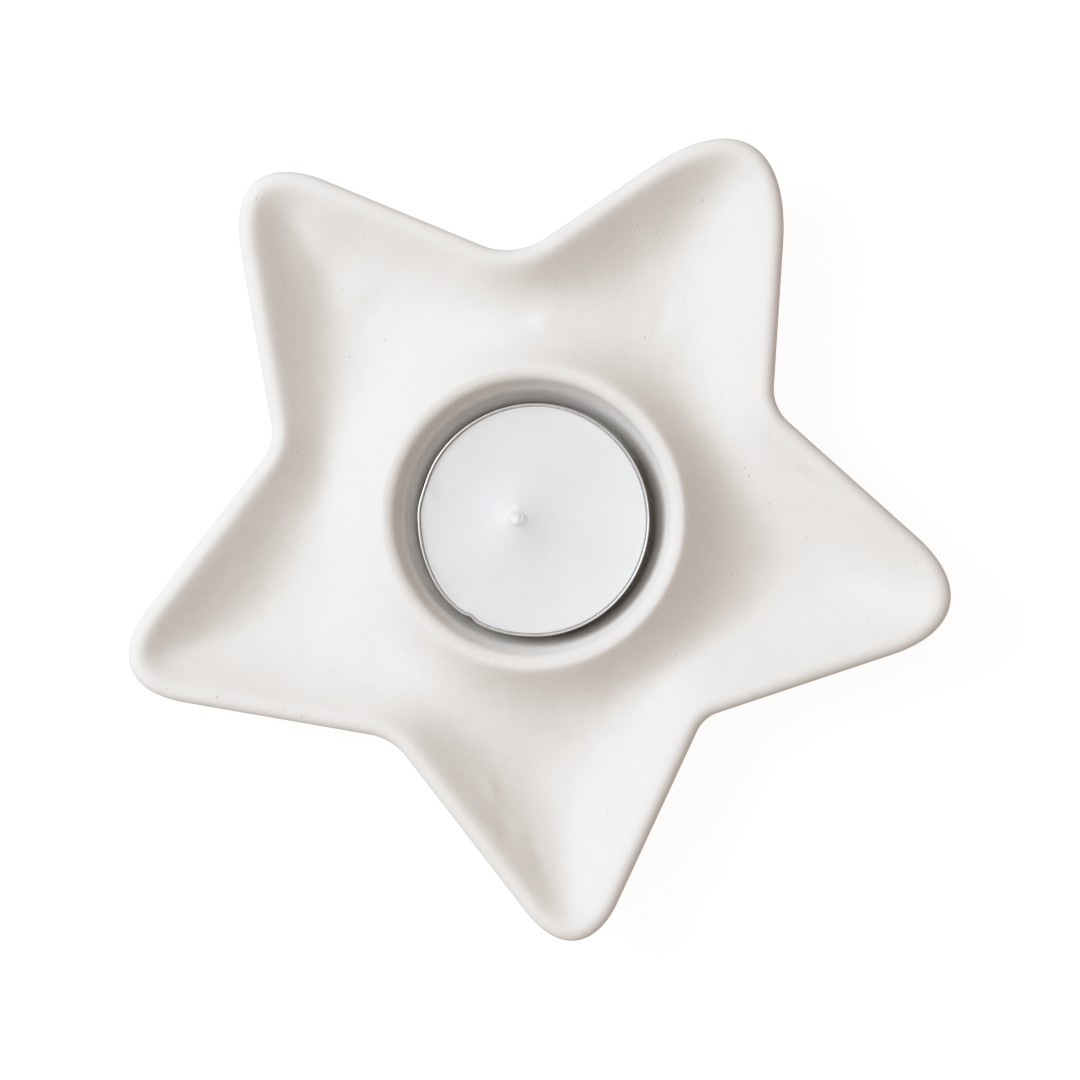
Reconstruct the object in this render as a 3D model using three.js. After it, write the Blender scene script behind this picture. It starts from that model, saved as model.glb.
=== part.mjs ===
// A hand-formed ceramic tealight holder shaped as a five-pointed star, with the tealight that it holds.
// Millimetres, +Z up. The origin is on the flat underside of the dish, on the axis of the round well.
// The pieces: the dish with its collar and well, the cup of the tealight, the wax, the wick and
// the stamped disc that holds the wick upright.

import * as THREE from 'three';

// Star outline. Each corner is where two straight edges would meet, and its cut is how far the
// rounding stays back from that point. Counter-clockwise, from the arm at the upper right.
const STAR_CORNERS = [
  { x: 42.8, y: 73.3, cut: 14.3, tip: true },
  { x: -3.0, y: 42.3, cut: 1.5, tip: false },
  { x: -51.0, y: 62.2, cut: 9.2, tip: true },
  { x: -42.2, y: 12.0, cut: 0.7, tip: false },
  { x: -72.7, y: -27.5, cut: 7.6, tip: true },
  { x: -23.0, y: -36.1, cut: 0.7, tip: false },
  { x: 7.8, y: -76.0, cut: 6.9, tip: true },
  { x: 27.9, y: -32.7, cut: 0.5, tip: false },
  { x: 77.4, y: -16.2, cut: 9.4, tip: true },
  { x: 39.2, y: 18.0, cut: 0.8, tip: false },
];
const CORNER_FULLNESS = 0.8; // conic weight of every rounding: under 1 is an ellipse, 1 a parabola

// Dish heights and wall shape
const RIM_TOP = 19;
const LIP_RADIUS = 1.7;
const HOLLOW_FLOOR = 3.6; // what the walls fall towards, below the lowest point they reach
const WALL_SPREAD = 9.7; // how far in from the lip the wall has fallen to a third of its height
const WALL_POWER = 1.05; // 1 is a steady decay, and more is steeper lower down
const CREST_ROUND = 2;
const SOFT_START = 0.6; // keeps a fall with a power under 1 from starting with a crease
const BASE_INSET = 11; // the flat underside is the star drawn in by this much
const UNDERSIDE_POWER = 1.6;

// Collar and well
const COLLAR_TOP = 20.5;
const COLLAR_RADIUS = 24.4; // at the crest
const FLANK_SPREAD = 9.2;
const FLANK_POWER = 0.75;
const COLLAR_ROUND = 2.2;
const MOUTH_ANGLE = 150; // degrees round the collar's crest, where the funnel of the well starts
const FUNNEL = [
  { across: 0.22, drop: 1.15 },
  { across: 0.46, drop: 2.25 },
  { across: 0.65, drop: 3.9 },
  { across: 1, drop: 9.7 },
]; // share of the way in from the mouth to the well's wall, and the drop from the mouth
const WELL_RADIUS = 20;
const WELL_FLOOR = 4.5;
const WELL_FILLET = 1.6;

// Tealight
const GAP = 0.3; // left between pieces that touch
const TEALIGHT_OFFSET = new THREE.Vector3(0.2, -0.5, WELL_FLOOR + GAP);
const SHEET = 0.4; // wall of the cup
const CUP_HEIGHT = 15;
const CUP_RADIUS = 18.5; // outside, under the bead
const CUP_TAPER = 0.6; // how much narrower the cup is at its foot
const BEAD_RADIUS = 0.4;
const FOOT_RADIUS = 16.6;
const PANEL_RADIUS = 14; // the middle of the cup's floor is raised
const PANEL_RISE = 0.6;
const WAX_EDGE_HEIGHT = 14.2;
const WAX_PEAK_HEIGHT = 15.1;
const HILL_RADIUS = 8; // the wax climbs to the wick inside this radius
const HILL_FOOT_SHARE = 0.08; // of the climb, reached at the hill's radius
const HILL_HALFWAY_SHARE = 0.4;

// Wick and the disc it stands in
const WICK_OFFSET = new THREE.Vector2(-2.6, 0.2);
const WICK_RADIUS = 0.65;
const WICK_TOP = 15.9;
const DISC_RADIUS = 6.3;
const DISC_THICKNESS = 0.35;
const NECK_RADIUS = 1.3;
const NECK_HEIGHT = 3.7;

// Facets
const TIP_STEPS = 7;
const NOTCH_STEPS = 4;
const EDGE_STEPS = 4;
const ARC_STEPS = 4;
const HOLLOW_STEPS = 11;
const UNDERSIDE_STEPS = 5;
const ROUND_STEPS = 48;
const THIN_ROUND_STEPS = 16;
const FINE_CURVE_STEPS = 24; // of the outline that distances are measured from
const FINE_NOTCH_STEPS = 12;

const SHARP_CORNERS = STAR_CORNERS.map(({ x, y }) => new THREE.Vector2(x, y));

function inwardNormal(from, to) {
  const along = to.clone().sub(from).normalize();
  return new THREE.Vector2(-along.y, along.x);
}

// One corner of the star drawn in by `inset`: the points that its rounding starts and ends at, and
// the sharp point between them. Drawing in tightens a tip's rounding and opens a notch's.
function roundedCorner(index, inset) {
  const { cut, tip } = STAR_CORNERS[index];
  const count = SHARP_CORNERS.length;
  const sharp = SHARP_CORNERS[index];
  const before = SHARP_CORNERS[(index + count - 1) % count];
  const after = SHARP_CORNERS[(index + 1) % count];
  const normalIn = inwardNormal(before, sharp);
  const normalOut = inwardNormal(sharp, after);
  const spread = 1 + normalIn.dot(normalOut);
  const corner = normalIn.clone().add(normalOut).multiplyScalar(inset / spread).add(sharp);
  const cosHalf = Math.sqrt((2 - spread) / 2);
  const retreat = Math.sqrt(2 / spread) - 1;
  const newCut = tip ? cut / (1 + (retreat * inset) / cut) : cut + retreat * inset;
  const run = (newCut * (1 + CORNER_FULLNESS)) / cosHalf;
  const start = before.clone().sub(sharp).setLength(run).add(corner);
  const end = after.clone().sub(sharp).setLength(run).add(corner);
  return { start, corner, end };
}

function conicPoint({ start, corner, end }, s) {
  const a = (1 - s) ** 2;
  const b = 2 * CORNER_FULLNESS * s * (1 - s);
  const c = s ** 2;
  const sum = new THREE.Vector2();
  sum.addScaledVector(start, a).addScaledVector(corner, b).addScaledVector(end, c);
  return sum.divideScalar(a + b + c);
}

// The whole outline drawn in by `inset`, as points that keep their order and number.
function starRing(inset, tipSteps = TIP_STEPS, notchSteps = NOTCH_STEPS, edgeSteps = EDGE_STEPS) {
  const corners = STAR_CORNERS.map((_, index) => roundedCorner(index, inset));
  const points = [];
  corners.forEach((rounding, index) => {
    const steps = STAR_CORNERS[index].tip ? tipSteps : notchSteps;
    for (let i = 0; i <= steps; i++) {
      points.push(conicPoint(rounding, i / steps));
    }
    const next = corners[(index + 1) % corners.length];
    for (let i = 1; i < edgeSteps; i++) {
      points.push(rounding.end.clone().lerp(next.start, i / edgeSteps));
    }
  });
  return points;
}

const OUTLINE = starRing(0);
const FINE_OUTLINE = starRing(0, FINE_CURVE_STEPS, FINE_NOTCH_STEPS, FINE_CURVE_STEPS);
const STATION_ANGLES = OUTLINE.map((point) => Math.atan2(point.y, point.x));

// Distance in from the outline, smoothed so that it has no crease along the middle of an arm.
// It is exact beside a straight edge: the sum is the integral of 1 / distance^5 along the outline.
function edgeDistance(x, y) {
  let sum = 0;
  for (let i = 0; i < FINE_OUTLINE.length; i++) {
    const a = FINE_OUTLINE[i];
    const b = FINE_OUTLINE[(i + 1) % FINE_OUTLINE.length];
    const distance = Math.hypot(x - (a.x + b.x) / 2, y - (a.y + b.y) / 2);
    sum += a.distanceTo(b) / distance ** 5;
  }
  return (0.75 * sum) ** -0.25;
}

// 1 on a rounded crest, falling smoothly to 0 over a few times `spread`.
function falloff(distance, spread, power) {
  const run = Math.hypot(Math.max(distance, 0), CREST_ROUND) - CREST_ROUND;
  return Math.exp(-((run + SOFT_START) ** power - SOFT_START ** power) / spread ** power);
}

// The walls of the rim and the collar run into each other, and each keeps its own height at its crest.
function hollowHeight(x, y) {
  const wall = falloff(edgeDistance(x, y) - LIP_RADIUS, WALL_SPREAD, WALL_POWER);
  const flank = falloff(Math.hypot(x, y) - COLLAR_RADIUS, FLANK_SPREAD, FLANK_POWER);
  const rimRise = RIM_TOP - HOLLOW_FLOOR;
  const collarRise = COLLAR_TOP - HOLLOW_FLOOR;
  const rimShare = (1 - flank) / (2 - wall - flank);
  const shared = THREE.MathUtils.lerp(collarRise ** 2, rimRise ** 2, rimShare);
  const alone = (rimRise * wall) ** 2 * (1 - flank ** 2) + (collarRise * flank) ** 2 * (1 - wall ** 2);
  return HOLLOW_FLOOR + Math.sqrt(alone + shared * (wall * flank) ** 2);
}

// A solid skinned over rings of points, each ring counter-clockwise seen from above. The rings start
// under the piece, run out, up, over and in. A ring of one point closes an end.
function ringSolid(rings) {
  const vertices = [];
  const triangles = [];
  const firstIndex = rings.map((ring) => {
    const first = vertices.length / 3;
    ring.forEach((point) => vertices.push(point.x, point.y, point.z));
    return first;
  });
  const closed = rings[0].length > 1;
  const joins = closed ? rings.length : rings.length - 1;
  for (let i = 0; i < joins; i++) {
    const next = (i + 1) % rings.length;
    const count = Math.max(rings[i].length, rings[next].length);
    const near = (k) => firstIndex[i] + (k % rings[i].length);
    const far = (k) => firstIndex[next] + (k % rings[next].length);
    for (let k = 0; k < count; k++) {
      if (rings[i].length > 1) {
        triangles.push(near(k), near(k + 1), far(k));
      }
      if (rings[next].length > 1) {
        triangles.push(near(k + 1), far(k + 1), far(k));
      }
    }
  }
  const geometry = new THREE.BufferGeometry();
  geometry.setAttribute('position', new THREE.Float32BufferAttribute(vertices, 3));
  geometry.setIndex(triangles);
  geometry.computeVertexNormals();
  return geometry;
}

// Points of an arc in a profile, as [radius, height] pairs. Angles in degrees.
function profileArc(radius, height, size, fromAngle, toAngle, steps = ARC_STEPS) {
  return Array.from({ length: steps + 1 }, (_, i) => {
    const angle = THREE.MathUtils.degToRad(fromAngle + ((toAngle - fromAngle) * i) / steps);
    return [radius + size * Math.cos(angle), height + size * Math.sin(angle)];
  });
}

// The solid that a profile sweeps round the Z axis. It starts and ends on the axis.
function turned(profile, steps = ROUND_STEPS) {
  const points = profile.map(([radius, height]) => new THREE.Vector2(radius, height));
  return new THREE.LatheGeometry(points, steps).rotateX(Math.PI / 2);
}

function atHeight(ring, height) {
  return ring.map((point) => new THREE.Vector3(point.x, point.y, height));
}

function wellRing(radius, height) {
  return STATION_ANGLES.map(
    (angle) => new THREE.Vector3(radius * Math.cos(angle), radius * Math.sin(angle), height),
  );
}

function undersideRings() {
  const sideHeight = RIM_TOP - LIP_RADIUS;
  const rings = [];
  for (let i = 0; i < UNDERSIDE_STEPS; i++) {
    const inwards = 1 - i / UNDERSIDE_STEPS;
    rings.push(atHeight(starRing(BASE_INSET * inwards), sideHeight * (1 - inwards) ** UNDERSIDE_POWER));
  }
  return rings;
}

function lipRings() {
  const arc = profileArc(LIP_RADIUS, RIM_TOP - LIP_RADIUS, LIP_RADIUS, 180, 90);
  return arc.map(([inset, height]) => atHeight(starRing(inset), height));
}

// From the lip down into the hollow of the arms and up the outside of the collar.
function hollowRings() {
  const lip = starRing(LIP_RADIUS);
  const collar = wellRing(COLLAR_RADIUS, COLLAR_TOP);
  const rings = [];
  for (let i = 1; i < HOLLOW_STEPS; i++) {
    const across = (1 - Math.cos((Math.PI * i) / HOLLOW_STEPS)) / 2;
    rings.push(
      lip.map((point, k) => {
        const x = THREE.MathUtils.lerp(point.x, collar[k].x, across);
        const y = THREE.MathUtils.lerp(point.y, collar[k].y, across);
        return new THREE.Vector3(x, y, hollowHeight(x, y));
      }),
    );
  }
  return rings;
}

function wellRings() {
  const crest = profileArc(COLLAR_RADIUS, COLLAR_TOP - COLLAR_ROUND, COLLAR_ROUND, 90, MOUTH_ANGLE);
  const [mouthRadius, mouthHeight] = crest[crest.length - 1];
  const profile = [
    ...crest,
    ...FUNNEL.map(({ across, drop }) => [
      THREE.MathUtils.lerp(mouthRadius, WELL_RADIUS, across),
      mouthHeight - drop,
    ]),
    ...profileArc(WELL_RADIUS - WELL_FILLET, WELL_FLOOR + WELL_FILLET, WELL_FILLET, 0, -90, 2),
  ];
  return profile.map(([radius, height]) => wellRing(radius, height));
}

function starDish() {
  return ringSolid([
    [new THREE.Vector3(0, 0, 0)],
    ...undersideRings(),
    ...lipRings(),
    ...hollowRings(),
    ...wellRings(),
    [new THREE.Vector3(0, 0, WELL_FLOOR)],
  ]);
}

function tealightCup() {
  const beadHeight = CUP_HEIGHT - BEAD_RADIUS;
  const beadCentre = CUP_RADIUS - SHEET / 2 + BEAD_RADIUS / 2;
  const footRound = CUP_RADIUS - CUP_TAPER - FOOT_RADIUS;
  return turned([
    [0, PANEL_RISE],
    [PANEL_RADIUS, PANEL_RISE],
    [PANEL_RADIUS + PANEL_RISE, 0],
    ...profileArc(FOOT_RADIUS, footRound, footRound, -90, 0),
    [CUP_RADIUS, beadHeight - BEAD_RADIUS],
    ...profileArc(beadCentre, beadHeight, BEAD_RADIUS, -30, 180, 5),
    ...profileArc(FOOT_RADIUS, footRound, footRound - SHEET, 0, -90, 2),
    [PANEL_RADIUS + PANEL_RISE + SHEET, SHEET],
    [PANEL_RADIUS + SHEET, PANEL_RISE + SHEET],
    [0, PANEL_RISE + SHEET],
  ]);
}

// The wax fills the cup. Its hole follows the wick, which stands to one side of the cup's axis, and
// the bottom has a recess for the disc that the wick stands in.
function tealightWax() {
  const bottom = PANEL_RISE + SHEET + GAP;
  const wallRadius = (height) => CUP_RADIUS - SHEET - GAP - CUP_TAPER * (1 - height / CUP_HEIGHT);
  const wickHole = WICK_RADIUS + GAP;
  const neckHole = NECK_RADIUS + GAP;
  const recessTop = bottom + DISC_THICKNESS + GAP;
  const neckTop = bottom + NECK_HEIGHT + GAP;
  const climb = WAX_PEAK_HEIGHT - WAX_EDGE_HEIGHT;
  const ring = (radius, height, aside) =>
    Array.from({ length: ROUND_STEPS }, (_, k) => {
      const angle = (2 * Math.PI * k) / ROUND_STEPS;
      const x = WICK_OFFSET.x * aside + radius * Math.cos(angle);
      const y = WICK_OFFSET.y * aside + radius * Math.sin(angle);
      return new THREE.Vector3(x, y, height);
    });
  return ringSolid([
    ring(DISC_RADIUS + GAP, bottom, 1),
    ring(wallRadius(bottom), bottom, 0),
    ring(wallRadius(WAX_EDGE_HEIGHT), WAX_EDGE_HEIGHT, 0),
    ring(HILL_RADIUS, WAX_EDGE_HEIGHT + climb * HILL_FOOT_SHARE, 1),
    ring(HILL_RADIUS / 2, WAX_EDGE_HEIGHT + climb * HILL_HALFWAY_SHARE, 1),
    ring(wickHole, WAX_PEAK_HEIGHT, 1),
    ring(wickHole, neckTop, 1),
    ring(neckHole, neckTop, 1),
    ring(neckHole, recessTop, 1),
    ring(DISC_RADIUS + GAP, recessTop, 1),
  ]);
}

function wick() {
  const foot = PANEL_RISE + SHEET + GAP + DISC_THICKNESS + GAP;
  return turned(
    [
      [0, foot],
      [WICK_RADIUS, foot],
      [WICK_RADIUS, WICK_TOP - WICK_RADIUS / 2],
      [WICK_RADIUS / 2, WICK_TOP],
      [0, WICK_TOP],
    ],
    THIN_ROUND_STEPS,
  );
}

function wickSustainer() {
  const bottom = PANEL_RISE + SHEET + GAP;
  const top = bottom + DISC_THICKNESS;
  const bore = WICK_RADIUS + GAP;
  return turned(
    [
      [0, bottom],
      [DISC_RADIUS, bottom],
      [DISC_RADIUS, top],
      [NECK_RADIUS, top],
      [NECK_RADIUS, bottom + NECK_HEIGHT],
      [bore, bottom + NECK_HEIGHT],
      [bore, top],
      [0, top],
    ],
    2 * THIN_ROUND_STEPS,
  );
}

const CERAMIC = new THREE.MeshStandardMaterial({ color: 0xefece8, roughness: 0.85, metalness: 0 });
const ALUMINIUM = new THREE.MeshStandardMaterial({ color: 0xd4d4d2, roughness: 0.35, metalness: 1 });
const WAX = new THREE.MeshStandardMaterial({ color: 0xe6e8ec, roughness: 0.45, metalness: 0 });
const COTTON = new THREE.MeshStandardMaterial({ color: 0xe9e7e0, roughness: 0.95, metalness: 0 });
const TINPLATE = new THREE.MeshStandardMaterial({ color: 0xb9bbbd, roughness: 0.4, metalness: 1 });

function named(name, geometry, material) {
  const mesh = new THREE.Mesh(geometry, material);
  mesh.name = name;
  return mesh;
}

const wickGroup = new THREE.Group();
wickGroup.position.set(WICK_OFFSET.x, WICK_OFFSET.y, 0);
wickGroup.add(named('wick', wick(), COTTON), named('wick_sustainer', wickSustainer(), TINPLATE));

const tealight = new THREE.Group();
tealight.position.copy(TEALIGHT_OFFSET);
tealight.add(
  named('tealight_cup', tealightCup(), ALUMINIUM),
  named('tealight_wax', tealightWax(), WAX),
  wickGroup,
);

const holder = new THREE.Group();
holder.add(named('star_dish', starDish(), CERAMIC), tealight);

export default holder;
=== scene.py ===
"""A hand-formed ceramic star dish with a tealight in its collar, seen from straight above."""

import math

import bpy
import numpy as np
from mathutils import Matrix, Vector, noise


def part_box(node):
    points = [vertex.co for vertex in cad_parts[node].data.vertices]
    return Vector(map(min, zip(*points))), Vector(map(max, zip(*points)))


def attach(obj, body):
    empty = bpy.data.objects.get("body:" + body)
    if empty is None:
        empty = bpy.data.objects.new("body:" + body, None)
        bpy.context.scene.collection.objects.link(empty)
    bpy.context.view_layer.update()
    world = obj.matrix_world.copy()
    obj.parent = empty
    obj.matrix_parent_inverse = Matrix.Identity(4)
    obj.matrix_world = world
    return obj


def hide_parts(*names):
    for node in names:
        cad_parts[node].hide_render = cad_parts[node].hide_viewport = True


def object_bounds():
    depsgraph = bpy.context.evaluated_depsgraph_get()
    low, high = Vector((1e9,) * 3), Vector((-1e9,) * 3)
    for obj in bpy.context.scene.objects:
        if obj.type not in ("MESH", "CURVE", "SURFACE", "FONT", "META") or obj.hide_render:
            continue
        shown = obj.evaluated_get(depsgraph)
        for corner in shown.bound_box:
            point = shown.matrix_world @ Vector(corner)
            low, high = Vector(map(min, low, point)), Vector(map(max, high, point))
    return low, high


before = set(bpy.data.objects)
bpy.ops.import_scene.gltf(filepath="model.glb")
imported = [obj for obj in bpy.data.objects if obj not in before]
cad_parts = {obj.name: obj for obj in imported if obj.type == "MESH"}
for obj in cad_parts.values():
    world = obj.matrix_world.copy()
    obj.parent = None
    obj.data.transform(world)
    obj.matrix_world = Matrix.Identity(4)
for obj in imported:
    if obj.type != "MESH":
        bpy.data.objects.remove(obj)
cad_low, cad_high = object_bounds()

MM = 0.001  # sizes are in millimetres, and meshes are scaled by this as they are made

# ---------------------------------------------------------------- sizes

dish_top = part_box("star_dish")[1].z / MM
cup_low, cup_high = (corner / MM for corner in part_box("tealight_cup"))
wick_low, wick_high = (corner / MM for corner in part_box("wick"))
disc_low, disc_high = (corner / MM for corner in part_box("wick_sustainer"))
tealight_centre = np.array([(cup_low.x + cup_high.x) / 2, (cup_low.y + cup_high.y) / 2, cup_low.z])
wick_centre = np.array([(wick_low.x + wick_high.x) / 2, (wick_low.y + wick_high.y) / 2, cup_low.z])
wick_aside = (wick_centre - tealight_centre)[:2]

# The star's sharp corners (x, y) and how far each rounding stays back from its corner, as in the
# CAD part. Counter-clockwise from the arm at the upper right; every second corner is a notch.
STAR_CORNERS = [
    (42.8, 73.3, 14.3),
    (-3.0, 42.3, 1.5),
    (-51.0, 62.2, 9.2),
    (-42.2, 12.0, 0.7),
    (-72.7, -27.5, 7.6),
    (-23.0, -36.1, 0.7),
    (7.8, -76.0, 6.9),
    (27.9, -32.7, 0.5),
    (77.4, -16.2, 9.4),
    (39.2, 18.0, 0.8),
]
CORNER_FULLNESS = 0.8  # conic weight of every rounding: under 1 is an ellipse, 1 a parabola

COLLAR_TOP = dish_top
RIM_TOP = COLLAR_TOP - 1.5
LIP_RADIUS = 1.7
HOLLOW_FLOOR = 3.6  # what the walls fall towards, below the lowest point they reach
WALL_SPREAD = 9.7  # how far in from the lip the wall has fallen to a third of its height
WALL_POWER = 1.05
WALL_ROUND = 2.0
BASE_INSET = 11.0  # the flat underside is the star drawn in by this much
UNDERSIDE_POWER = 1.6
COLLAR_RADIUS = 24.4
FLANK_SPREAD = 9.2
FLANK_POWER = 0.75
FLANK_ROUND = 2.0
COLLAR_ROUND = 2.2
SOFT_START = 0.6  # keeps a fall with a power under 1 from starting with a crease
MARK_FADE = 0.12  # share of the way across the hollow in which its unevenness dies out at the edges
MOUTH_ANGLE = 150  # degrees round the collar's crest, where the funnel of the well starts
STEEP_SIDE = 165  # degrees: the funnel falls a little faster on this side than opposite
# The funnel is hollowed out further on one side: its depth, and the side and its width in degrees
WELL_SAG, WELL_SAG_SIDE, WELL_SAG_WIDTH = 1.3, 38, 48
WELL_THROAT = 8.0  # height at which the well's wall is upright below its funnel
WELL_CENTRE = (0.7, -0.35)  # the well's lower part is a little aside from its collar
WELL_RADIUS = 19.4
WELL_FLOOR = 4.5
WELL_FILLET = 1.6

CUP_HEIGHT = cup_high.z - cup_low.z
CUP_RADIUS = 18.5
CUP_TAPER = 0.6
SHEET = 0.16
BEAD_RADIUS = 0.15
FOOT_RADIUS = 16.6
PANEL_RADIUS = 14.0  # the middle of the cup's floor is raised, with a pressed groove in it
PANEL_RISE = 0.6
PANEL_GROOVE = 0.15
WAX_EDGE_HEIGHT = 14.45
WAX_PEAK_HEIGHT = 15.1
HILL_RADIUS = 5.0
WAX_SAG = 1.4
WAX_CLEARANCE = 0.1  # between the wax and the cup, and the wax and the sustainer
MENISCUS = 0.1
DISC_RADIUS = (disc_high.x - disc_low.x) / 2
NECK_HEIGHT = disc_high.z - disc_low.z
DISC_SHEET = 0.28
DISC_RIDGE = 0.18
CRIMP_DEPTH = 0.28
WICK_RADIUS = 0.6
WICK_CLEARANCE = 0.05
BRAID_TURNS = 9  # in the height of the cup

# Mesh fineness
TIP_STEPS, NOTCH_STEPS, EDGE_STEPS = 38, 8, 36
HOLLOW_STEPS = 78
UNDERSIDE_STEPS = 16
CUP_STEPS = 360
WAX_STEPS = 240
DISC_STEPS = 96
COAT_STEPS = 72
WICK_STEPS, WICK_RINGS = 36, 150

# ---------------------------------------------------------------- mesh helpers


def add_piece(name, vertices, faces, material, body, replaces=()):
    """A smooth piece from points in millimetres, riding on a body in place of its CAD nodes."""
    mesh = bpy.data.meshes.new(name)
    mesh.from_pydata([tuple(v) for v in np.asarray(vertices, float) * MM], [], faces)
    mesh.validate()
    mesh.shade_smooth()
    mesh.materials.append(material)
    piece = bpy.data.objects.new(name, mesh)
    bpy.context.scene.collection.objects.link(piece)
    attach(piece, body)
    if replaces:
        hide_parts(*replaces)


def skin_rings(rings, closed=False):
    """Vertices and faces over rings of equal length, each counter-clockwise seen from above. The
    rings run out, up, over and in, and the first and last are capped unless the skin is closed."""
    count = len(rings[0])
    vertices = np.concatenate(rings)
    faces = []
    for i in range(len(rings) if closed else len(rings) - 1):
        near, far = i * count, (i + 1) % len(rings) * count
        for k in range(count):
            following = (k + 1) % count
            faces.append((near + k, near + following, far + following, far + k))
    if not closed:
        faces.append(tuple(reversed(range(count))))
        faces.append(tuple(range(len(vertices) - count, len(vertices))))
    return vertices, faces


def arc(radius, height, size, from_angle, to_angle, steps=12):
    """(radius, height) points of an arc in a profile, with angles in degrees."""
    angles = np.radians(np.linspace(from_angle, to_angle, steps + 1))
    return [(radius + size * math.cos(a), height + size * math.sin(a)) for a in angles]


def circle(steps):
    angles = np.linspace(0, 2 * math.pi, steps, endpoint=False)
    return np.stack([np.cos(angles), np.sin(angles)], axis=1)


def at_height(xy, height):
    return np.column_stack([xy, np.broadcast_to(height, len(xy))])


def soft_noise(points, size, seed):
    """Perlin noise, about -1 to 1, with lumps about `size` millimetres apart."""
    shift = Vector((seed * 17.3, seed * 5.1, seed * 9.7))
    return np.array([noise.noise(Vector(p) / size + shift) for p in points])


def bell(distance, size):
    return np.exp(-((distance / size) ** 2))


def degrees_from(angles, side):
    """How many degrees each angle, in radians, is from a side given in degrees."""
    return (np.degrees(angles) - side + 180) % 360 - 180


# ---------------------------------------------------------------- the star dish

# Marks that the maker's fingers and tool left in the clay: (x, y, length, width, direction in
# degrees, height). Dents have a negative height.
MARKS = [
    (-29.0, 36.5, 4.0, 2.6, 60, 0.35),
    (-34.3, 47.6, 4.5, 3.0, 110, 0.35),
    (-38.5, 42.0, 5.0, 1.6, 112, 0.2),
    (-33.0, 6.0, 9.0, 4.5, 100, -0.6),
    (-31.0, -17.8, 5.0, 3.5, 20, 0.4),
    (49.0, -14.5, 6.0, 3.0, 150, 0.35),
    (2.0, 31.8, 2.2, 1.6, 20, 0.3),
    (-1.5, 32.5, 2.5, 1.6, 160, -0.3),
    (21.2, 32.6, 3.6, 1.4, 69, -0.24),
    (24.2, 32.0, 4.0, 2.4, 72, 0.15),
    (44.5, 6.5, 6.0, 1.3, 147, -0.4),
    (-38.0, -28.0, 8.0, 1.8, 170, -0.35),
    (-6.6, -44.8, 3.0, 1.1, 115, 0.3),
    (-4.6, -50.5, 3.5, 1.5, 115, -0.38),
    (0.6, -55.0, 5.0, 1.6, 112, -0.3),
]


def inward_normal(start, end):
    along = (end - start) / np.linalg.norm(end - start)
    return np.array([-along[1], along[0]])


def rounded_corner(index, inset):
    """Start, sharp corner and end of one corner's rounding, with the star drawn in by inset."""
    corners = np.array([corner[:2] for corner in STAR_CORNERS])
    cut = STAR_CORNERS[index][2]
    before, sharp, after = corners[index - 1], corners[index], corners[(index + 1) % len(corners)]
    normal_in, normal_out = inward_normal(before, sharp), inward_normal(sharp, after)
    spread = 1 + normal_in @ normal_out
    corner = sharp + (normal_in + normal_out) * inset / spread
    cos_half = math.sqrt((2 - spread) / 2)
    retreat = math.sqrt(2 / spread) - 1
    is_tip = index % 2 == 0
    new_cut = cut / (1 + retreat * inset / cut) if is_tip else cut + retreat * inset
    run = new_cut * (1 + CORNER_FULLNESS) / cos_half
    start = corner + (before - sharp) * run / np.linalg.norm(before - sharp)
    end = corner + (after - sharp) * run / np.linalg.norm(after - sharp)
    return start, corner, end


def star_ring(inset):
    """The outline drawn in by inset, as points that keep their order and number."""
    corners = [rounded_corner(i, inset) for i in range(len(STAR_CORNERS))]
    points = []
    for index, (start, corner, end) in enumerate(corners):
        steps = TIP_STEPS if index % 2 == 0 else NOTCH_STEPS
        s = np.linspace(0, 1, steps + 1)[:, None]
        a, b, c = (1 - s) ** 2, 2 * CORNER_FULLNESS * s * (1 - s), s**2
        points.extend((a * start + b * corner + c * end) / (a + b + c))
        following = corners[(index + 1) % len(corners)][0]
        along = np.linspace(0, 1, EDGE_STEPS + 1)[1:-1, None]
        points.extend(end + (following - end) * along)
    return np.array(points)


OUTLINE = star_ring(0)


def edge_distance(xy):
    """Distance in from the outline, smoothed so that the middle of an arm has no crease. The factor
    0.75 makes it exact beside a long straight edge."""
    following = np.roll(OUTLINE, -1, axis=0)
    middles = (OUTLINE + following) / 2
    lengths = np.linalg.norm(following - OUTLINE, axis=1)
    distances = np.linalg.norm(xy[:, None, :] - middles[None], axis=2)
    return (0.75 * (lengths / distances**5).sum(axis=1)) ** -0.25


def falloff(distance, spread, power, rounding):
    """1 on a rounded crest, falling to 0 over a few times `spread`."""
    run = np.hypot(np.maximum(distance, 0), rounding) - rounding
    return np.exp(-((run + SOFT_START) ** power - SOFT_START**power) / spread**power)


def hand_marks(xy):
    total = np.zeros(len(xy))
    for x, y, length, width, direction, height in MARKS:
        turn = math.radians(direction)
        dx, dy = xy[:, 0] - x, xy[:, 1] - y
        along = dx * math.cos(turn) + dy * math.sin(turn)
        across = dy * math.cos(turn) - dx * math.sin(turn)
        total += height * bell(along, length) * bell(across, width)
    return total


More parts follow.
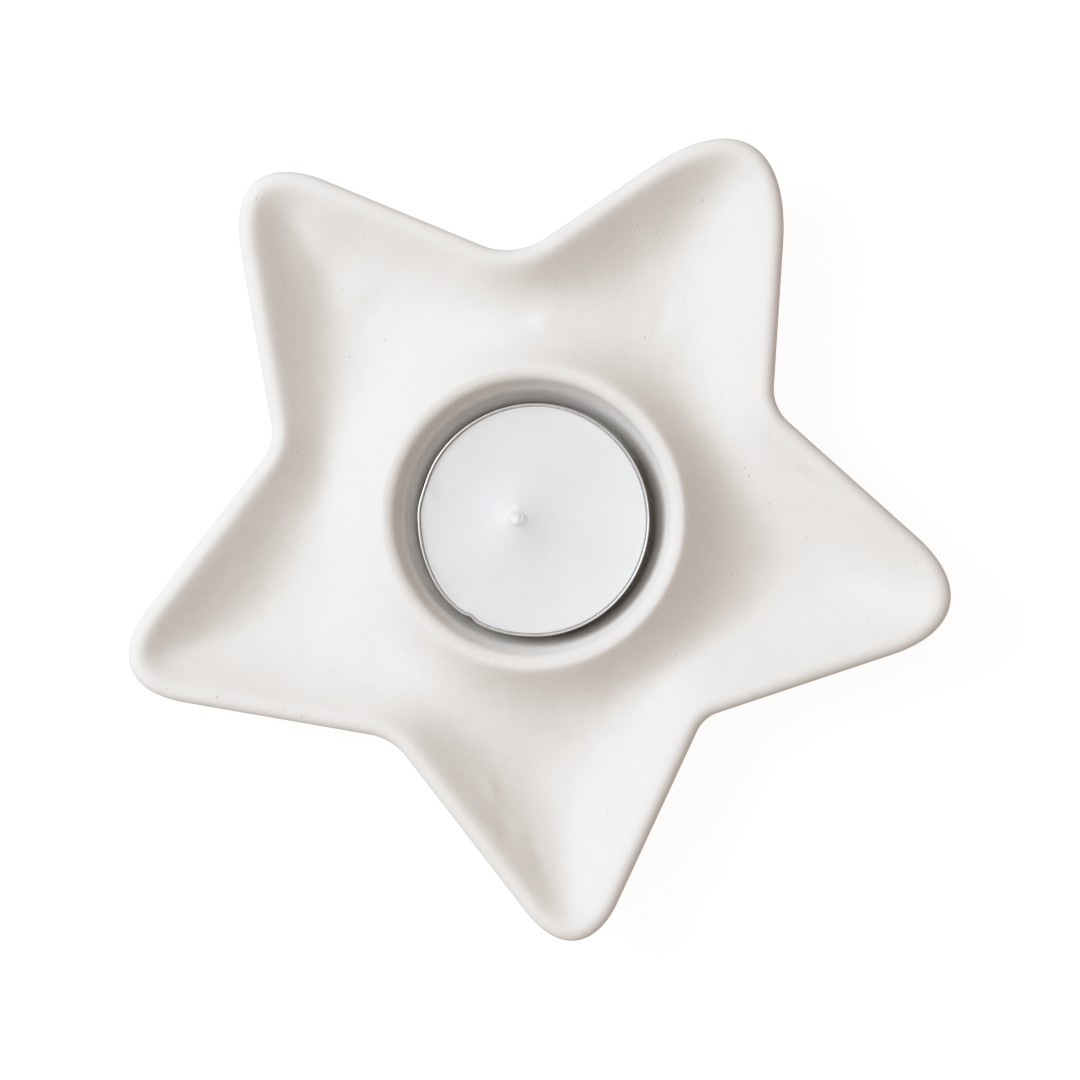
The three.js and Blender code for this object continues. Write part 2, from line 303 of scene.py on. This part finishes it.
def hollow_height(xy):
    """The walls fall from the rim, the flanks fall from the collar, and the two flow together."""
    from_lip = edge_distance(xy) - LIP_RADIUS
    from_crest = np.linalg.norm(xy, axis=1) - COLLAR_RADIUS
    wall = falloff(from_lip, WALL_SPREAD, WALL_POWER, WALL_ROUND)
    flank = falloff(from_crest, FLANK_SPREAD, FLANK_POWER, FLANK_ROUND)
    rim_rise, collar_rise = RIM_TOP - HOLLOW_FLOOR, COLLAR_TOP - HOLLOW_FLOOR
    just_over = 1.0001  # keeps the share below from dividing by 0 on a crest
    short_of_rim, short_of_collar = just_over - wall, just_over - flank
    both = rim_rise**2 * short_of_collar + collar_rise**2 * short_of_rim
    rise = (rim_rise * wall) ** 2 * (1 - flank**2) + (collar_rise * flank) ** 2 * (1 - wall**2)
    rise += both / (short_of_rim + short_of_collar) * (wall * flank) ** 2
    return HOLLOW_FLOOR + np.sqrt(rise)


def hollow_ring(lip, collar, across):
    """A ring of the hollow, a share of the way across from the lip to the collar's crest."""
    xy = lip + (collar - lip) * across
    flat = at_height(xy, 0)
    uneven = 0.22 * soft_noise(flat, 13, 1)
    uneven += 0.13 * soft_noise(flat, 6, 2)
    uneven += 0.035 * soft_noise(flat, 2.6, 3)
    fade = min(1, min(across, 1 - across) / MARK_FADE)
    return at_height(xy, hollow_height(xy) + (uneven + hand_marks(xy)) * fade)


# The well's wall from its mouth to its lower part: (share of the way across, drop from the mouth
# opposite the steep side, drop on the steep side)
FUNNEL = [
    (0.04, 0.18, 0.22),
    (0.09, 0.42, 0.5),
    (0.15, 0.72, 0.85),
    (0.22, 1.05, 1.25),
    (0.3, 1.4, 1.6),
    (0.38, 1.8, 1.9),
    (0.46, 2.2, 2.3),
    (0.55, 2.75, 3.0),
    (0.65, 3.5, 4.3),
    (0.76, 4.8, 6.0),
    (0.88, 7.0, 7.9),
    (1.0, 9.7, 9.7),
]


def dish_rings():
    """From the middle of the underside out, up the side, over the rim, across the hollow, over the
    collar and down the well to the middle of its floor."""
    side = RIM_TOP - LIP_RADIUS
    angles = np.arctan2(OUTLINE[:, 1], OUTLINE[:, 0])
    round_ring = np.stack([np.cos(angles), np.sin(angles)], axis=1)
    base = star_ring(BASE_INSET)
    rings = [at_height(base * share, 0) for share in (0.05, 0.4, 0.7, 0.9)]
    for s in np.linspace(0, 1, UNDERSIDE_STEPS + 1)[:-1]:
        rings.append(at_height(star_ring(BASE_INSET * (1 - s)), side * s**UNDERSIDE_POWER))
    for inset, height in arc(LIP_RADIUS, side, LIP_RADIUS, 180, 90):
        rings.append(at_height(star_ring(inset), height))
    lip, collar = star_ring(LIP_RADIUS), COLLAR_RADIUS * round_ring
    for i in range(1, HOLLOW_STEPS):
        rings.append(hollow_ring(lip, collar, (1 - math.cos(math.pi * i / HOLLOW_STEPS)) / 2))
    crest = arc(COLLAR_RADIUS, COLLAR_TOP - COLLAR_ROUND, COLLAR_ROUND, 90, MOUTH_ANGLE)
    rings += [at_height(round_ring * radius, height) for radius, height in crest]
    mouth, mouth_height = round_ring * crest[-1][0], crest[-1][1]
    hole = round_ring * WELL_RADIUS + WELL_CENTRE
    on_steep_side = 0.5 + 0.5 * np.cos(angles - math.radians(STEEP_SIDE))
    hollowed = WELL_SAG * bell(degrees_from(angles, WELL_SAG_SIDE), WELL_SAG_WIDTH)
    for across, gentle, steep in FUNNEL:
        height = mouth_height - gentle + (gentle - steep) * on_steep_side
        height -= hollowed * 4 * across * (1 - across)
        rings.append(at_height(mouth + (hole - mouth) * across, height))
    well = [
        (WELL_RADIUS, WELL_THROAT),
        *arc(WELL_RADIUS - WELL_FILLET, WELL_FLOOR + WELL_FILLET, WELL_FILLET, 0, -90, 8),
        *((radius, WELL_FLOOR) for radius in (17, 13, 8, 3, 0.5)),
    ]
    rings += [at_height(round_ring * radius + WELL_CENTRE, height) for radius, height in well]
    return rings


def add_star_dish(material):
    vertices, faces = skin_rings(dish_rings())
    add_piece("star_dish_fine", vertices, faces, material, "dish", ["star_dish"])


# ---------------------------------------------------------------- the tealight


# Where the cup's wall stands out of round: (side and width in degrees, how far out). The narrow one
# is a kink at the lower left.
CUP_BENDS = [
    (80, 32, 0.25),
    (161, 8, -0.14),
    (175, 6, 0.1),
    (222, 17, 0.36),
    (236.5, 2.6, -0.34),
    (247, 12, 0.18),
    (267, 3, -0.04),
    (338, 38, -0.12),
]


def cup_shape(angles):
    """How far the cup's wall stands out of round."""
    total = np.zeros(len(angles))
    for centre, size, height in CUP_BENDS:
        total += height * bell(degrees_from(angles, centre), size)
    return total


def cup_ring(radius, height, steps=CUP_STEPS, shaped=1.0):
    """A ring round the cup's axis, out of round by the cup's bends, which grow towards its bead."""
    xy = circle(steps)
    angles = np.arctan2(xy[:, 1], xy[:, 0])
    share = shaped * min(1, max(0, height / CUP_HEIGHT)) ** 3
    return at_height(xy * (radius + cup_shape(angles) * share)[:, None], height)


def add_tealight_cup(material):
    """A thin cup with a rolled bead. The profile runs out under its floor, up and back inside."""
    bead_height = CUP_HEIGHT - BEAD_RADIUS
    bead_centre = CUP_RADIUS + 0.27
    foot_round = CUP_RADIUS - CUP_TAPER - FOOT_RADIUS
    inner = CUP_RADIUS + 0.1
    groove = PANEL_RISE - PANEL_GROOVE
    profile = [
        *((radius, PANEL_RISE) for radius in (0.5, 6.0, 11.5)),
        (11.8, groove),
        (12.3, groove),
        (12.6, PANEL_RISE),
        (PANEL_RADIUS - 0.2, PANEL_RISE),
        (PANEL_RADIUS, PANEL_RISE - 0.08),
        (PANEL_RADIUS + PANEL_RISE, 0.06),
        (PANEL_RADIUS + PANEL_RISE + 0.2, 0),
        *arc(FOOT_RADIUS, foot_round, foot_round, -90, 0, 8),
        (CUP_RADIUS - 0.3, 7.5),
        (CUP_RADIUS - 0.1, 11.5),
        (CUP_RADIUS, bead_height - BEAD_RADIUS - 0.25),
        *arc(bead_centre, bead_height, BEAD_RADIUS, -110, 190, 16),
        (inner, bead_height - 0.2),
        (inner - SHEET, bead_height - 0.5),
        (CUP_RADIUS - 0.2 - SHEET, 11.5),
        (CUP_RADIUS - 0.4 - SHEET, 7.5),
        *arc(FOOT_RADIUS, foot_round, foot_round - SHEET, 0, -90, 8),
        (PANEL_RADIUS + PANEL_RISE + 0.3, SHEET),
        (PANEL_RADIUS + PANEL_RISE + 0.1, SHEET + 0.05),
        (PANEL_RADIUS + 0.1, PANEL_RISE + SHEET - 0.08),
        (PANEL_RADIUS - 0.1, PANEL_RISE + SHEET),
        (12.6, PANEL_RISE + SHEET),
        (12.3, groove + SHEET),
        (11.8, groove + SHEET),
        *((radius, PANEL_RISE + SHEET) for radius in (11.5, 6.0, 0.5)),
    ]
    rings = [cup_ring(radius, height) + tealight_centre for radius, height in profile]
    vertices, faces = skin_rings(rings)
    nodes = ["tealight_cup"]
    add_piece("tealight_cup_fine", vertices, faces, material, "tealight", nodes)


# Drips set on the wax, from the cup's axis: (x, y, size across, size along, height)
DRIPS = [
    (wick_aside[0], wick_aside[1] + 2.0, 0.55, 0.45, 0.15),
    (-17.0, 5.2, 1.2, 3.0, 0.12),
    (-10.1, -14.0, 1.0, 0.8, 0.1),
]


def lumps(xy, rows):
    """The sum of soft lumps at points, from rows of (x, y, size across, size along, height)."""
    total = np.zeros(len(xy))
    for x, y, across, along, height in rows:
        total += height * bell(xy[:, 0] - x, across) * bell(xy[:, 1] - y, along)
    return total


def wax_top(xy):
    """Height of the wax: a low hill round the wick, a soft edge that wets the cup, and drips."""
    from_wick = np.linalg.norm(xy - wick_aside, axis=1)
    from_axis = np.linalg.norm(xy, axis=1)
    sag = WAX_SAG * (1 - (from_axis / CUP_RADIUS) ** 2.6)
    climb = WAX_PEAK_HEIGHT - WAX_EDGE_HEIGHT + WAX_SAG
    hill = np.exp(-((from_wick / HILL_RADIUS) ** 1.2))
    meniscus = MENISCUS * np.exp(-(CUP_RADIUS - WAX_CLEARANCE - from_axis).clip(0) / 0.25)
    flat = at_height(xy, 0)
    uneven = 0.03 * soft_noise(flat, 6, 5) + 0.012 * soft_noise(flat, 1.6, 6)
    return WAX_EDGE_HEIGHT - sag + climb * hill + meniscus + uneven + lumps(xy, DRIPS)


def add_tealight_wax(material):
    """A closed puck. Its rings run up the cup's wall, over the top and down round the wick."""
    bottom = disc_low.z - cup_low.z
    disc_hole, disc_roof = DISC_RADIUS + WAX_CLEARANCE, bottom + 0.5
    neck_hole, neck_roof = DISC_RADIUS * 0.26, bottom + NECK_HEIGHT + WAX_CLEARANCE
    wick_hole = WICK_RADIUS + WICK_CLEARANCE
    edge = CUP_RADIUS - WAX_CLEARANCE
    wall = [
        (edge - 2.0, bottom),
        (edge - 0.65, bottom + 1.2),
        (edge - 0.35, 7.5),
        (edge, WAX_EDGE_HEIGHT),
    ]
    hole = [
        (wick_hole, neck_roof),
        (neck_hole, neck_roof),
        (neck_hole, disc_roof),
        (disc_hole, disc_roof),
    ]

    def ring(radius, height, aside, shaped=0.0):
        return cup_ring(radius, height, WAX_STEPS, shaped) + np.append(wick_aside * aside, 0)

    rings = [ring(disc_hole, bottom, 1)]
    rings += [ring(radius, height, 0, 1.0) for radius, height in wall]
    top_radii = [edge - 0.15, edge - 0.35, edge - 0.7, *np.linspace(edge - 1.2, 4.2, 34)]
    top_radii += [*np.linspace(4.0, wick_hole, 26)]
    for radius in top_radii:
        aside = 1 - min(1, max(0, (radius - 1) / (edge - 1))) ** 0.7
        flat = ring(radius, WAX_EDGE_HEIGHT, aside, (radius / edge) ** 6)
        rings.append(at_height(flat[:, :2], wax_top(flat[:, :2])))
    rings += [ring(radius, height, 1) for radius, height in hole]
    vertices, faces = skin_rings([r + tealight_centre for r in rings], closed=True)
    add_piece("tealight_wax_fine", vertices, faces, material, "candle", ["tealight_wax"])


# The blob of wax on the wick's end: (radius, rise over the wax) of its foot and of its dome, and the
# lumps and the crease where the braid folds over, as rows for lumps()
COAT_FOOT = [(0.02, -0.7), (1.0, -0.7), (1.7, -0.4), (1.8, -0.15), (1.55, -0.05)]
COAT_DOME = [(1.3 - 0.05 * i, 0.06 * (1 - (1 - i / 24) ** 2)) for i in range(25)]
COAT_STRETCH = (1.15, 0.9)
COAT_LUMPS = [
    (-0.4, -0.65, 0.42, 0.34, 0.12),
    (0.5, 0.4, 0.15, 0.4, -0.13),
    (0.8, 0.45, 0.15, 0.4, 0.05),
]


def add_wick(material):
    """A braided cotton wick with a rounded end, cut off just under the top of the wax."""
    foot, top = wick_low.z - cup_low.z, WAX_PEAK_HEIGHT - 0.3
    angles = np.linspace(0, 2 * math.pi, WICK_STEPS, endpoint=False)
    rings = []
    for height in np.linspace(foot, top, WICK_RINGS):
        phase = 2 * math.pi * BRAID_TURNS * height / CUP_HEIGHT
        braid = np.abs(np.sin(1.5 * angles + phase)) + np.abs(np.sin(1.5 * angles - phase))
        radius = WICK_RADIUS * (0.82 + 0.09 * braid)
        rings.append(at_height(circle(WICK_STEPS) * radius[:, None], height))
    last = rings[-1]
    rings += [last * (share, share, 1) + (0, 0, rise) for share, rise in ((0.8, 0.08), (0.3, 0.11))]
    vertices, faces = skin_rings([ring + wick_centre for ring in rings])
    add_piece("wick_braid", vertices, faces, material, "candle", ["wick"])


def add_wick_coat(material):
    """The blob of wax that coats the wick's end."""
    rings = []
    for radius, lift in COAT_FOOT + COAT_DOME:
        flat = circle(COAT_STEPS) * radius * COAT_STRETCH
        height = wax_top(flat + wick_aside) + lift + lumps(flat, COAT_LUMPS) * (lift > 0)
        rings.append(at_height(flat, height) + wick_centre)
    vertices, faces = skin_rings(rings)
    add_piece("wick_wax_coat", vertices, faces, material, "candle")


def add_wick_sustainer(material):
    """A stamped disc with a raised ring and a neck crimped on to the wick in three places."""
    bottom = disc_low.z - cup_low.z
    bore, neck = WICK_RADIUS + WICK_CLEARANCE, DISC_RADIUS * 0.2
    crimp_height = NECK_HEIGHT * 0.62
    angles = np.linspace(0, 2 * math.pi, DISC_STEPS, endpoint=False)
    profile = [
        (bore, 0.0),
        (2.2, 0.0),
        (2.6, DISC_RIDGE),
        (3.4, DISC_RIDGE),
        (3.8, 0.0),
        (DISC_RADIUS - 0.1, 0.0),
        (DISC_RADIUS, 0.1),
        (DISC_RADIUS, DISC_SHEET - 0.06),
        (DISC_RADIUS - 0.1, DISC_SHEET),
        (3.85, DISC_SHEET),
        (3.45, DISC_SHEET + DISC_RIDGE),
        (2.55, DISC_SHEET + DISC_RIDGE),
        (2.15, DISC_SHEET),
        (neck + 0.35, DISC_SHEET),
        (neck + 0.08, DISC_SHEET + 0.15),
        (neck, DISC_SHEET + 0.5),
        (neck, NECK_HEIGHT * 0.45),
        (neck, crimp_height),
        (neck, NECK_HEIGHT * 0.8),
        (neck, NECK_HEIGHT - 0.1),
        (neck - 0.1, NECK_HEIGHT),
        (bore, NECK_HEIGHT),
        (bore, NECK_HEIGHT * 0.5),
    ]
    rings = []
    for radius, height in profile:
        on_neck = bore + 0.1 < radius < neck + 0.01
        crimp = CRIMP_DEPTH * bell(height - crimp_height, 0.6) if on_neck else 0
        radii = radius - crimp * np.maximum(0, np.cos(3 * angles)) ** 2
        rings.append(at_height(circle(DISC_STEPS) * radii[:, None], height + bottom) + wick_centre)
    vertices, faces = skin_rings(rings, closed=True)
    nodes = ["wick_sustainer"]
    add_piece("wick_sustainer_fine", vertices, faces, material, "candle", nodes)


# ---------------------------------------------------------------- materials


class Nodes:
    """A principled material whose nodes are added by short calls."""

    def __init__(self, name, roughness, metallic=0.0):
        self.material = bpy.data.materials.new(name)
        self.material.use_nodes = True
        self.tree = self.material.node_tree
        self.shader = self.tree.nodes["Principled BSDF"]
        self.shader.inputs["Roughness"].default_value = roughness
        self.shader.inputs["Metallic"].default_value = metallic
        self.place = self.add("ShaderNodeTexCoord").outputs["Object"]

    def add(self, kind, **settings):
        node = self.tree.nodes.new(kind)
        for key, value in settings.items():
            setattr(node, key, value)
        return node

    def link(self, source, target):
        self.tree.links.new(source, target)

    def noise(self, size, detail=3.0, roughness=0.5, seed=0.0, stretch=(1, 1, 1)):
        """Noise of about 0 to 1, with lumps about `size` millimetres apart."""
        mapping = self.add("ShaderNodeMapping")
        mapping.inputs["Location"].default_value = (seed, seed * 1.7, seed * 0.6)
        mapping.inputs["Scale"].default_value = stretch
        self.link(self.place, mapping.inputs["Vector"])
        node = self.add("ShaderNodeTexNoise")
        node.inputs["Scale"].default_value = 1 / (size * MM)
        node.inputs["Detail"].default_value = detail
        node.inputs["Roughness"].default_value = roughness
        self.link(mapping.outputs["Vector"], node.inputs["Vector"])
        return node.outputs["Fac"]

    def ramp(self, value, stops):
        """Colours or greys along a value: stops are (position, colour)."""
        node = self.add("ShaderNodeValToRGB")
        elements = node.color_ramp.elements
        while len(elements) < len(stops):
            elements.new(0.5)
        for element, (position, colour) in zip(elements, stops):
            element.position = position
            element.color = (*colour, 1) if isinstance(colour, tuple) else (colour, colour, colour, 1)
        self.link(value, node.inputs["Fac"])
        return node.outputs["Color"]

    def mix(self, factor, a, b, mode="MIX"):
        node = self.add("ShaderNodeMix", data_type="RGBA", blend_type=mode)
        for key, value in (("Factor", factor), ("A", a), ("B", b)):
            socket = next(s for s in node.inputs if s.name == key and s.enabled)
            if isinstance(value, (int, float)):
                socket.default_value = value
            elif isinstance(value, tuple):
                socket.default_value = (*value, 1)
            else:
                self.link(value, socket)
        return next(s for s in node.outputs if s.enabled)

    def colour(self, value):
        self.link(value, self.shader.inputs["Base Color"])

    def roughness(self, value):
        self.link(value, self.shader.inputs["Roughness"])

    def bump(self, *layers):
        """Each layer is (height value, depth in millimetres)."""
        normal = None
        for height, depth in layers:
            node = self.add("ShaderNodeBump")
            node.inputs["Distance"].default_value = depth * MM
            self.link(height, node.inputs["Height"])
            if normal is not None:
                self.link(normal, node.inputs["Normal"])
            normal = node.outputs["Normal"]
        self.link(normal, self.shader.inputs["Normal"])


def bisque_material():
    nodes = Nodes("bisque", roughness=0.88)
    nodes.shader.inputs["Specular IOR Level"].default_value = 0.25
    warm, pale = (0.80, 0.785, 0.76), (0.83, 0.815, 0.795)
    clouds = nodes.ramp(nodes.noise(22, 4), [(0.3, warm), (0.7, pale)])
    patches = nodes.ramp(nodes.noise(3.5, 5, 0.6, seed=3), [(0.35, 0.972), (0.65, 1.0)])
    # painted shade in the pits: the clay is made darker in the same spots that the pit bump below
    # dents in, from the same noise
    pit_painted_shade = nodes.ramp(nodes.noise(1.1, 2, seed=7), [(0.19, 0.86), (0.26, 1.0)])
    nodes.colour(nodes.mix(1.0, nodes.mix(1.0, clouds, patches, "MULTIPLY"), pit_painted_shade, "MULTIPLY"))
    grain = nodes.noise(0.35, 4, 0.6)
    sponge = nodes.noise(1.6, 3, seed=4)
    pits = nodes.ramp(nodes.noise(1.1, 2, seed=7), [(0.2, 0.0), (0.27, 1.0)])
    nodes.bump((sponge, 0.05), (grain, 0.03), (pits, 0.08))
    return nodes.material


def aluminium_material():
    nodes = Nodes("cup_aluminium", roughness=0.4, metallic=1.0)
    streaks = nodes.noise(1.4, 3, stretch=(1, 1, 0.05))
    nodes.colour(nodes.ramp(streaks, [(0.3, (0.80, 0.785, 0.77)), (0.7, (0.88, 0.865, 0.85))]))
    nodes.roughness(nodes.ramp(nodes.noise(0.9, 3, seed=2), [(0.3, 0.36), (0.7, 0.46)]))
    nodes.bump((streaks, 0.006), (nodes.noise(0.25, 2, seed=5), 0.002))
    return nodes.material


def wax_material():
    nodes = Nodes("wax", roughness=0.42)
    shader = nodes.shader
    shader.inputs["Specular IOR Level"].default_value = 0.5
    shader.inputs["Subsurface Weight"].default_value = 0.35
    shader.inputs["Subsurface Radius"].default_value = (1.0, 0.95, 1.0)
    shader.inputs["Subsurface Scale"].default_value = 2.0 * MM
    pale, milky = (0.785, 0.805, 0.83), (0.825, 0.845, 0.865)
    clouds = nodes.ramp(nodes.noise(7, 4), [(0.3, pale), (0.7, milky)])
    crystals = nodes.ramp(nodes.noise(0.8, 4, seed=3), [(0.3, 0.985), (0.7, 1.0)])
    nodes.colour(nodes.mix(1.0, clouds, crystals, "MULTIPLY"))
    nodes.bump((nodes.noise(3.0, 3), 0.03), (nodes.noise(0.5, 3, seed=2), 0.006))
    return nodes.material


def cotton_material():
    nodes = Nodes("wick_cotton", roughness=0.9)
    between, strand = (0.70, 0.68, 0.62), (0.84, 0.82, 0.77)
    nodes.colour(nodes.ramp(nodes.noise(0.3, 3), [(0.3, between), (0.7, strand)]))
    nodes.bump((nodes.noise(0.12, 3, stretch=(1, 1, 0.4)), 0.04))
    return nodes.material


def tinplate_material():
    nodes = Nodes("tinplate", roughness=0.35, metallic=1.0)
    dull, bright = (0.55, 0.56, 0.57), (0.68, 0.69, 0.70)
    nodes.colour(nodes.ramp(nodes.noise(1.5, 3), [(0.3, dull), (0.7, bright)]))
    nodes.roughness(nodes.ramp(nodes.noise(0.7, 3, seed=2), [(0.3, 0.28), (0.7, 0.42)]))
    nodes.bump((nodes.noise(0.4, 2, seed=3), 0.01))
    return nodes.material


wax = wax_material()
add_star_dish(bisque_material())
add_tealight_cup(aluminium_material())
add_tealight_wax(wax)
add_wick(cotton_material())
add_wick_coat(wax)
add_wick_sustainer(tinplate_material())

# ---------------------------------------------------------------- floor, light and camera

FLOOR_SIZE = 8.0  # metres, from here on
FRAME_MARGIN = 1.312  # width of the picture, in widths of the object
CAMERA_DISTANCE = 1.2  # from the rim

# The picture's brightness for the scene's light: straight up to light grey, then a shoulder
BRIGHTEST_LIGHT = 1.3
TONE_CURVE = [
    (0.2, 0.2),
    (0.4, 0.4),
    (0.6, 0.6),
    (0.75, 0.745),
    (0.9, 0.855),
    (1.0, 0.905),
    (1.1, 0.94),
    (1.2, 0.972),
]


def add_floor():
    """A pale sheet that the camera sees as white. It glows for the camera only, so that what it
    throws back on to the outside of the dish is its own reflected light."""
    half = FLOOR_SIZE / 2
    mesh = bpy.data.meshes.new("floor")
    corners = [(-half, -half, 0), (half, -half, 0), (half, half, 0), (-half, half, 0)]
    mesh.from_pydata(corners, [], [(0, 1, 2, 3)])
    nodes = Nodes("floor_white", roughness=0.9)
    nodes.colour(nodes.ramp(nodes.noise(40, 2), [(0.3, 0.50), (0.7, 0.52)]))
    nodes.shader.inputs["Emission Color"].default_value = (1, 1, 1, 1)
    glow = nodes.add("ShaderNodeLightPath").outputs["Is Camera Ray"]
    nodes.link(glow, nodes.shader.inputs["Emission Strength"])
    mesh.materials.append(nodes.material)
    floor = bpy.data.objects.new("floor", mesh)
    bpy.context.scene.collection.objects.link(floor)


def add_softbox(name, azimuth, elevation, distance, size, watts, colour):
    """A square light that faces the origin, from a direction in degrees: 0 is +X and 90 is +Y."""
    a, e = math.radians(azimuth), math.radians(elevation)
    towards = Vector((math.cos(a) * math.cos(e), math.sin(a) * math.cos(e), math.sin(e)))
    light = bpy.data.lights.new(name, "AREA")
    light.shape = "SQUARE"
    light.size = size
    light.energy = watts
    light.color = colour
    lamp = bpy.data.objects.new(name, light)
    lamp.location = towards * distance
    lamp.rotation_mode = "QUATERNION"
    lamp.rotation_quaternion = towards.to_track_quat("Z", "Y")
    bpy.context.scene.collection.objects.link(lamp)


def add_world(strength, colour):
    """Soft light from all round, which the camera sees as plain white."""
    world = bpy.data.worlds.new("studio")
    world.use_nodes = True
    tree = world.node_tree
    background = tree.nodes["Background"]
    background.inputs["Color"].default_value = (*colour, 1)
    background.inputs["Strength"].default_value = strength
    seen = tree.nodes.new("ShaderNodeBackground")
    seen.inputs["Color"].default_value = (1, 1, 1, 1)
    mixed = tree.nodes.new("ShaderNodeMixShader")
    path = tree.nodes.new("ShaderNodeLightPath")
    tree.links.new(path.outputs["Is Camera Ray"], mixed.inputs["Fac"])
    tree.links.new(background.outputs["Background"], mixed.inputs[1])
    tree.links.new(seen.outputs["Background"], mixed.inputs[2])
    tree.links.new(mixed.outputs["Shader"], tree.nodes["World Output"].inputs["Surface"])
    bpy.context.scene.world = world


def add_camera():
    centre = (cad_low + cad_high) / 2
    frame_width = (cad_high.x - cad_low.x) * FRAME_MARGIN
    data = bpy.data.cameras.new("camera")
    data.sensor_width = 36
    data.lens = data.sensor_width * CAMERA_DISTANCE / frame_width
    camera = bpy.data.objects.new("camera", data)
    camera.location = (centre.x, centre.y, RIM_TOP * MM + CAMERA_DISTANCE)
    bpy.context.scene.collection.objects.link(camera)
    bpy.context.scene.camera = camera


def add_tone_curve():
    """A soft shoulder on the brightest tones, which keeps the pale clay from clipping."""
    settings = bpy.context.scene.view_settings
    settings.view_transform = "Standard"
    settings.use_curve_mapping = True
    mapping = settings.curve_mapping
    mapping.white_level = (BRIGHTEST_LIGHT, BRIGHTEST_LIGHT, BRIGHTEST_LIGHT)
    combined = mapping.curves[3]
    for light, shown in TONE_CURVE:
        combined.points.new(light / BRIGHTEST_LIGHT, shown)
    mapping.update()


add_floor()
add_softbox("key", 159, 47, distance=0.9, size=0.45, watts=6.75, colour=(0.83, 0.92, 1.0))
add_world(0.54, (1.0, 0.87, 0.78))
add_camera()
add_tone_curve()
